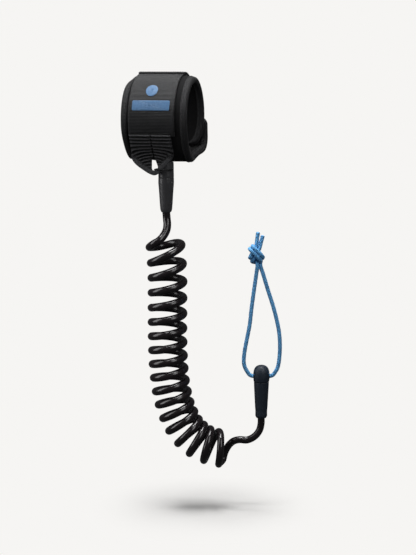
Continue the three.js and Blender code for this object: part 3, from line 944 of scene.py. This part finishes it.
def make_strip(name, span, low, thickness, inset=0.0, pitch=1.3, ridge=0.08):
    """Webbing laid on the wrap between two angles, with its weft bars as relief and thicker
    woven edges. low is its underside, and inset makes it narrower than the strap."""
    degrees = np.linspace(*span, int((span[1] - span[0]) / STRIP_STEP) + 1)
    left, right = STRAP_LEFT_X + inset, STRAP_RIGHT_X - inset
    section = strip_section(left, right, thickness)
    at = wrap_distance(degrees)
    x = np.repeat(section[None, :, 0], len(degrees), 0)
    from_side = (right - left) / 2 - np.abs(section[:, 0] - (left + right) / 2)
    edge = np.clip((3.2 - from_side) / 0.5, 0, 1)
    relief = ridge * np.cos(at * TAU / pitch)[:, None] + 0.12 * edge[None]
    height = low + section[None, :, 1] + relief * section[None, :, 2] + strap_lift(degrees)[:, None]
    rings = on_wrap(degrees, x, height)
    sag = softness(rings.reshape(-1, 3), 23.0, 0.22).reshape(height.shape)
    rings = on_wrap(degrees, x, height + sag * section[None, :, 2])
    return loft(name, rings, along=at, sharp=60)


def make_straps():
    front_span = (FRONT_STRAP_FROM, FRONT_STRAP_TO)
    front = make_strip("front_strap_webbing", front_span, STRAP_LOW, WEBBING_THICKNESS)
    dress(front, STRAP, "cuff", "webbing", "front_strap")
    back = make_strip("back_strap_webbing", BACK_STRAP_SPAN, STRAP_LOW, WEBBING_THICKNESS)
    dress(back, STRAP, "cuff", "webbing", "back_strap")
    loops = make_strip("loop_pile", PATCH_SPAN, STRAP_LOW, **PATCH)
    dress(loops, HOOKS, "cuff", "hook_and_loop", "loop_patch")
    hooks = make_strip("hook_tape", PATCH_SPAN, HOOK_LOW, **PATCH)
    dress(hooks, HOOKS, "flap", "hook_and_loop", "hook_patch")
    flap = make_strip("closure_flap_webbing", FLAP_SPAN, FLAP_LOW, WEBBING_THICKNESS)
    dress(flap, STRAP, "flap", "webbing", "closure_flap")
    make_flap_end()


FLAP_END_SPAN = (351.6, 356.2)
FLAP_END_LOW = 4.6
FINGER_RIDGE_PITCH = 2.4


def make_flap_end():
    """The moulded pull at the flap's free end: a rounded bar with finger ridges. The pull is real, but
    its near-black colour is painted shade for the shadow at the strap's end.
    """
    degrees = np.linspace(*FLAP_END_SPAN, 13)
    section = pill(23.9, 1.25, 1.2, across=60, corner=9)
    across = section[None, :, 0]
    crown = np.sqrt(np.clip(1 - ((degrees - 353.9) / 2.35) ** 2, 0.02, 1))[:, None]
    ridges = 0.12 * np.cos(across * TAU / FINGER_RIDGE_PITCH) * (np.abs(section[None, :, 1]) > 1.2)
    height = FLAP_END_LOW + section[None, :, 1] * (0.7 + 0.6 * crown) * (1 + ridges)
    x = STRAP_CENTRE_X + across * (0.97 + 0.03 * crown)
    end = loft("flap_pull", on_wrap(degrees, x, height), sharp=60)
    # Dark nylon here is painted shade: the shadow at the strap's end, coloured into the pull.
    dress(end, DARK_NYLON, "flap", "binding", "flap_end_tape")


BAR_ANGLE = 288.5
BAR_HALF_SIZE = (19, 4.6)
DOT_ANGLE = 309.5
DOT_X = -3.3
DOT_RADIUS = 6.0


def patch_on_strap(name, outline, node):
    """A thin print on the front strap from an outline of [x, millimetres along the strap]."""
    degrees = np.linspace(FRONT_STRAP_FROM, 365, 451)
    at = wrap_distance(degrees)
    outline = np.asarray(outline, float)
    centre = outline.mean(0)
    top = STRAP_LOW + WEBBING_THICKNESS + 0.14
    shares = [(1.0, -0.12), (1.0, 0.1)] + [(k, 0.16) for k in (0.97, 0.8, 0.6, 0.4, 0.2, 0.02)]
    rings = []
    for share, rise in shares:
        x, run = (centre + (outline - centre) * share).T
        height = np.full((len(x), 1), top + rise)
        rings.append(on_wrap(np.interp(run, at, degrees), x[:, None], height)[:, 0])
    dress(loft(name, rings, sharp=60), PRINT, "cuff", "print", node)


def rounded_bar(centre_x, centre_at, half_x, half_at, radius, steps=8):
    points = []
    for corner, (sx, sy) in enumerate([(1, 1), (-1, 1), (-1, -1), (1, -1)]):
        for a in np.linspace(0, math.pi / 2, steps):
            angle = corner * math.pi / 2 + a
            x = centre_x + sx * (half_x - radius) + radius * math.cos(angle)
            run = centre_at + sy * (half_at - radius) + radius * math.sin(angle)
            points.append((x, run))
    return points


def subdivide(points, longest=1.2):
    """The same closed outline with no side longer than given."""
    made = []
    for a, b in zip(points, points[1:] + points[:1]):
        a, b = np.array(a), np.array(b)
        count = max(1, int(math.ceil(np.linalg.norm(b - a) / longest)))
        made.extend(a + (b - a) * k / count for k in range(count))
    return made


def strap_run(degree):
    """Millimetres along the front strap from its lower end to an angle."""
    return wrap_distance(np.linspace(FRONT_STRAP_FROM, degree, 200))[-1]


def make_prints():
    bar = rounded_bar(STRAP_CENTRE_X - 0.6, strap_run(BAR_ANGLE), *BAR_HALF_SIZE, 1.2)
    patch_on_strap("strap_print_bar", subdivide(bar), "print_bar")
    centre = strap_run(DOT_ANGLE)
    dot = [
        (DOT_X + DOT_RADIUS * math.cos(a), centre + DOT_RADIUS * math.sin(a)) for a in full_turn(48)
    ]
    patch_on_strap("strap_print_dot", dot, "print_dot")


# --- The ribbed webbing and the sling below it: one piece ---

SLING_Y = -29.9
RIB_TOP_Z = -12.6
LEAVE_Z = -29.0
HANG_Z = -37.5
RIM_WIDTH = 5.6

# Both edges run from the left arm's top down round the bottom to the right arm's top: x and z.
SLING_OUTER = [
    (-24.8, RIB_TOP_Z), (-24.8, -20.0), (-25.2, -28.0), (-25.6, -34.0), (-25.0, -38.4),
    (-21.6, -43.2), (-13.4, -49.2), (-6.2, -53.2), (-1.6, -54.3), (2.3, -52.4), (8.4, -46.2),
    (14.0, -40.3), (17.0, -36.4), (17.7, -32.0), (17.6, -24.0), (17.6, RIB_TOP_Z),
]

SLING_INNER = [
    (-3.0, RIB_TOP_Z), (-3.0, -20.0), (-3.0, -28.0), (-3.2, -34.4), (-4.7, -39.0), (-4.9, -44.0),
    (-4.8, -48.4), (-3.8, -49.4), (-1.6, -49.5), (1.0, -49.4), (1.9, -48.5), (0.4, -42.8),
    (-1.4, -38.4), (-2.5, -34.2), (-2.6, -24.0), (-2.6, RIB_TOP_Z),
]


def sling_middle(z):
    """Where the webbing's middle lies, from front to back, at a height: y."""
    half_depth = BAND_FRONT_HALF_DEPTH + SKIN_HEIGHT + 1.5
    half_height = BAND_HALF_HEIGHT + SKIN_HEIGHT + 1.5
    on_ring = -half_depth * np.sqrt(1 - (np.clip(z, LEAVE_Z, 0) / half_height) ** 2)
    leave = -half_depth * math.sqrt(1 - (LEAVE_Z / half_height) ** 2)
    t = np.clip((LEAVE_Z - z) / (LEAVE_Z - HANG_Z), 0, 1)
    slope = 0.62 * (LEAVE_Z - HANG_Z)
    return np.where(z > LEAVE_Z, on_ring, hermite(t, leave, slope, SLING_Y, 0))


def make_sling():
    """The front half with its ribs, from the outer edge in to the slot's, and the plain back."""
    outer, inner = matched(through_points(SLING_OUTER, 0.32), through_points(SLING_INNER, 0.32), 460)
    share = np.linspace(0, 1, 30)
    x = outer[:, None, 0] + (inner[:, None, 0] - outer[:, None, 0]) * share
    z = outer[:, None, 1] + (inner[:, None, 1] - outer[:, None, 1]) * share
    width = np.linalg.norm(inner - outer, axis=1)[:, None]
    reach = width * share
    heights = np.linspace(0, -60, 601)
    profile = sling_middle(heights)
    fall = distances(np.stack([profile, heights], -1))
    down = np.interp(-z, -heights, fall)
    bow = smoothstep(-z, 20, 40) * 7.5 * ((x + 3.4) / 21) ** 2
    rib = (0.5 - 0.5 * np.cos(TAU * (down - bow) / RIB_PITCH)) ** 1.2
    hanging = smoothstep(-z, 37, 43)
    rim = smoothstep(-z, 33, 38) * (1 - smoothstep(reach, RIM_WIDTH - 1.2, RIM_WIDTH + 0.4))
    selvedge = smoothstep(reach, 0, 1) * smoothstep(width - reach, 0, 1)
    front = 0.1 + 1.8 * rib * selvedge * (1 - 0.35 * hanging)
    front = front * (1 - rim) + rim * (1.35 + 0.5 * np.sin(math.pi * np.clip(reach / RIM_WIDTH, 0, 1)))
    tilt = np.interp(-z, -heights, np.gradient(profile, heights))
    lean = 1 / np.sqrt(1 + tilt**2)
    middle = np.interp(-z, -heights, profile)
    face = np.stack([x, middle - front * lean, z + front * tilt * lean], -1)
    rear = np.stack([x, middle + lean, z - tilt * lean], -1)
    sling = loft("ribbed_sling", np.concatenate([face, rear[:, ::-1]], 1), sharp=75)
    # The rim is mapped to a crest, so it takes the crests' painted highlight colour all along.
    ribs = np.stack([x, (down - bow) * (1 - rim) + 0.5 * RIB_PITCH * rim], -1)
    set_cloth_map(sling, np.concatenate([ribs, ribs[:, ::-1]], 1).reshape(-1, 2))
    dress(sling, RIBBED, None, "webbing", "rib_webbing_left", "rib_webbing_right", "webbing_sling")
    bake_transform(sling)
    return sling


def matched(outer, inner, count):
    """Both edges resampled so that a line across the webbing stays square to it: level on the
    arms, and turning round the slot's lower end."""
    tip = int(np.argmin(outer[:, 1]))
    low = int(np.argmin(np.abs(inner[:, 0] + 1.6) + 10 * (inner[:, 1] > -48)))
    half = count // 2
    made = []
    for line, middle in ((outer, tip), (inner, low)):
        first, second = line[: middle + 1], line[middle:]
        parts = []
        for part, samples in ((first, half), (second[::-1], count - half)):
            at = distances(part)
            t = np.linspace(0, at[-1], samples)
            parts.append(np.stack([np.interp(t, at, part[:, k]) for k in range(3)], -1))
        made.append(np.vstack([parts[0], parts[1][::-1]]))
    return made


def closed_rod(name, line, flat, radius, sides=18):
    """A rod along a closed, evenly spaced line that lies square to the direction flat."""
    ahead = unit(np.roll(line, -1, 0) - np.roll(line, 1, 0))
    up = np.broadcast_to(np.array(flat, float), ahead.shape)
    rings = line[:, None] + radius * circles(np.cross(ahead, up), up, sides)
    rod = loft(name, np.concatenate([rings, rings[:1]]), caps=False)
    turn_outward(rod.data, WELD)
    return rod


def make_link():
    """The link through the sling: round wire bent to a rectangle with round corners."""
    left, right, front, back, radius, z = -2.0, 14.5, -32.3, -20.0, 3.0, -48.6
    centre, half = ((left + right) / 2, (front + back) / 2), ((right - left) / 2, (back - front) / 2)
    points = [(x, y, z) for x, y in rounded_bar(*centre, *half, radius, 9)]
    line = evenly(np.array(points + points[:1]), 0.7)[:-1]
    link = closed_rod("sling_wire_link", line, (0, 0, 1), 0.7)
    return dress(link, DARK_NYLON, "sling", "nylon", "sling_link")


EYELET_OFFSET = 7.7
EYELET_RADIUS = 2.75


def make_eyelets():
    """The rolled rims round the hole that the string goes through."""
    along_hole = in_plane(1, 0) - in_plane(0, 0)
    for side, end in ((-1, "left"), (1, "right")):
        sideways = BOARD_AXIS_S + side * EYELET_OFFSET
        ring = [(EYELET_RADIUS * math.sin(a), EYELET_RADIUS * math.cos(a)) for a in full_turn(48)]
        spots = [in_plane(sideways, STRING_HOLE_Z + up, behind) for up, behind in ring]
        rim = closed_rod("eyelet_rim_" + end, np.array(spots), along_hole, 0.45, 12)
        dress(rim, NAVY, "board_end", "navy_nylon", "eyelet_" + end)


# --- The mouldings ---


def hollow(top_z, cavity_top, cavity_bottom, mouth_z):
    """The inside of a moulding, from its mouth up: the cord's bore, the cavity, the pin's bore."""
    cord, cavity, pin = 4.1, 4.5, 2.4
    profile = [(cord, mouth_z), (cord, cavity_bottom), (cavity, cavity_bottom)]
    return profile + [(cavity, cavity_top), (pin, cavity_top), (pin, top_z)]


def dimples(places, radius, depth):
    """A dent function for turned(): round hollows at given angles and heights."""

    def dent(angles, radii, heights):
        made = np.zeros_like(radii)
        for angle, z, at_radius in places:
            across = np.angle(np.exp(1j * (angles - angle))) * at_radius
            away = np.hypot(across, heights - z)
            made += depth * (1 - smoothstep(away, radius * 0.55, radius)) * (radii > 5)
        return made

    return dent


def fine_profile(profile, step):
    """Extra points along the long sides of a profile."""
    made = [profile[0]]
    for a, b in zip(profile, profile[1:]):
        count = max(1, int(np.linalg.norm(b - a) / step))
        made.extend(a + (b - a) * k / count for k in range(1, count + 1))
    return np.array(made)


SLOT_Z = -48
SLOT_WIDTH = 3.4
SLOT_LENGTH = 30  # more than the head is wide
DIMPLE_TURN = math.radians(47)


def make_cuff_end():
    head_profile = [(0, -41.2), (6.6, -41.2), (7.5, -41.9), (7.6, -45), (7.6, -50), (7.7, -54.5)]
    head_profile += [(7.7, -57.2), (2.4, -57.2), (2.4, -51.4), (0, -51.4)]
    head = turned("swivel_head_shell", rounded(head_profile, 0.35), CUFF_AXIS)
    middle = Matrix.Translation(Vector((*CUFF_AXIS, SLOT_Z)) * MM)
    size = Matrix.Diagonal((SLOT_LENGTH * MM, SLOT_WIDTH * MM, SLOT_WIDTH * MM, 1))
    slot = made_mesh("slot", bmesh.ops.create_cube, size=1.0, matrix=middle @ size)
    carve(head, add_object("slot", slot))
    dress(head, NYLON, "sling", "nylon", "cuff_swivel_head")
    outside = [(7.7, -57.35), (7.8, -62), (7.35, -68), (6.9, -74), (6.35, -83)]
    outside += [(5.9, -88.4), (5.5, -89.9), (4.8, -91.4)]
    profile = outside + hollow(-57.35, -69, -80, -91.4)
    where = -math.pi / 2 + CORD_PLANE_TURN + DIMPLE_TURN
    dent = dimples([(where, -61.0, 8.0), (where, -81.5, 7.0)], 1.25, 0.9)
    shape = fine_profile(rounded(profile, 0.6), 0.5)
    body = turned("cuff_moulding_shell", shape, CUFF_AXIS, 128, dent)
    dress(body, NYLON, "cord", "nylon", "cuff_moulding")


def make_board_end():
    centre = tuple(in_plane(BOARD_AXIS_S, 0)[:2])
    head_profile = [(0, -246.1), (2.2, -246.25), (4.2, -246.9), (5.9, -248.1), (7.2, -250.1)]
    head_profile += [(7.95, -252.5), (8.2, -255.5), (8.2, -258.5), (8.05, -261), (7.8, -263.35)]
    head_profile += [(2.4, -263.35), (2.4, -260.7), (0, -260.7)]
    head = turned("string_head_shell", rounded(head_profile, 1.4, 5), centre, 96)
    hole_path = np.array([in_plane(BOARD_AXIS_S + s, STRING_HOLE_Z) for s in np.linspace(-12, 12, 9)])
    carve(head, tube("hole", hole_path, 2.45, 32))
    dress(head, NAVY, "board_end", "navy_nylon", "board_head")
    outside = [(7.45, -263.5), (7.6, -263.9), (7.45, -268), (6.95, -278), (6.3, -290)]
    outside += [(6.0, -293), (6.05, -298.4), (4.9, -300.4)]
    profile = outside + hollow(-263.5, -272, -283, -300.4)
    shape = fine_profile(rounded(profile, 0.5), 1.0)

    def facets(angles, radii, heights):
        return 0.05 * (1 - np.cos(angles * 6)) * (radii > 5)

    sleeve = turned("string_sleeve_shell", shape, centre, 96, facets)
    dress(sleeve, NAVY, "cord", "navy_nylon", "board_sleeve")


def dress_cad():
    """Materials for the hidden inner parts, which stay as the CAD has them."""
    looks = {"swivel_pin": STEEL, "swivel_washer": STEEL, "cord_crimp": BRASS, "cord_plug": URETHANE}
    for end in ("cuff_", "board_"):
        for part, material in looks.items():
            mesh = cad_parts[end + part].data
            mesh.materials.clear()
            mesh.materials.append(material)


make_band()
make_binding(-1, "left")
make_binding(1, "right")
make_binding_stitches()
make_straps()
make_prints()
make_sling()
make_link()
make_cuff_end()
make_board_end()
make_eyelets()
dress_cad()

# --- The studio ---

FLOOR_PLACE = (0.046, -0.0095, -0.3935)
PAPER = (0.922, 0.913, 0.896)
LIT_PAPER = (0.93, 0.92, 0.903)
LIT_WITHIN = 0.02  # metres from the floor's middle
EVEN_BEYOND = 0.125
EVEN_AT_MIDDLE = 0.3  # the even paper's share there


def area_light(name, place, target, size, power, height=None):
    data = bpy.data.lights.new(name, "AREA")
    data.shape = "RECTANGLE"
    data.size = size
    data.size_y = height or size
    data.energy = power
    light = add_object(name, data)
    light.location = place
    light.visible_camera = False
    aim(light, target)
    return light


def even_material(name):
    """The backdrop's paper, which shines evenly."""
    material = bpy.data.materials.new(name)
    material.use_nodes = True
    tree = material.node_tree
    tree.nodes.clear()
    output = tree.nodes.new("ShaderNodeOutputMaterial")
    even = tree.nodes.new("ShaderNodeEmission")
    even.inputs["Color"].default_value = (*PAPER, 1)
    tree.links.new(even.outputs[0], output.inputs[0])
    return material, tree, output, even


def paper_material():
    """Lit paper near the object, which fades to the even paper further out."""
    material, tree, output, even = even_material("paper")
    kinds = ("MixShader", "BsdfDiffuse", "TexCoord", "VectorMath", "MapRange")
    mix, lit, place, reach, ramp = (tree.nodes.new("ShaderNode" + kind) for kind in kinds)
    reach.operation = "LENGTH"
    ramp.interpolation_type = "SMOOTHSTEP"
    ramp.inputs["From Min"].default_value = LIT_WITHIN
    ramp.inputs["From Max"].default_value = EVEN_BEYOND
    ramp.inputs["To Min"].default_value = EVEN_AT_MIDDLE
    lit.inputs["Color"].default_value = (*LIT_PAPER, 1)
    tree.links.new(place.outputs["Object"], reach.inputs[0])
    tree.links.new(reach.outputs["Value"], ramp.inputs["Value"])
    tree.links.new(ramp.outputs[0], mix.inputs[0])
    tree.links.new(lit.outputs[0], mix.inputs[1])
    tree.links.new(even.outputs[0], mix.inputs[2])
    tree.links.new(mix.outputs[0], output.inputs[0])
    return material


def make_studio():
    circle, sphere = bmesh.ops.create_circle, bmesh.ops.create_uvsphere
    disc = made_mesh("floor", circle, cap_ends=True, segments=96, radius=6)
    floor = add_object("floor", disc)
    floor.location = FLOOR_PLACE
    disc.materials.append(paper_material())
    shell = made_mesh("backdrop", sphere, u_segments=48, v_segments=24, radius=7)
    dome = add_object("backdrop", shell)
    shell.materials.append(even_material("backdrop")[0])
    for flag in ("visible_diffuse", "visible_glossy", "visible_shadow", "visible_transmission"):
        setattr(dome, flag, False)
    floor.visible_diffuse = False
    floor.visible_glossy = False
    world = bpy.data.worlds.new("studio")
    world.use_nodes = True
    world.node_tree.nodes["Background"].inputs[0].default_value = (0.9, 0.92, 0.95, 1)
    world.node_tree.nodes["Background"].inputs[1].default_value = 0.06
    bpy.context.scene.world = world
    bpy.context.scene.view_settings.view_transform = "Standard"
    area_light("overhead", (-0.06, -0.03, 1.25), (0.03, 0, -0.2), 0.7, 27)
    left_box = area_light("left_box", (-1.25, -0.65, 0.5), (0.03, 0, -0.15), 0.85, 15, height=1.8)
    right_box = area_light("right_box", (1.05, -0.95, 0.75), (0.03, 0, -0.2), 0.7, 9, height=1.3)
    unlit = bpy.data.collections.new("lit_from_overhead_only")
    unlit.objects.link(floor)
    unlit.collection_objects[0].light_linking.link_state = "EXCLUDE"
    for light in (left_box, right_box):
        light.light_linking.receiver_collection = unlit


make_studio()
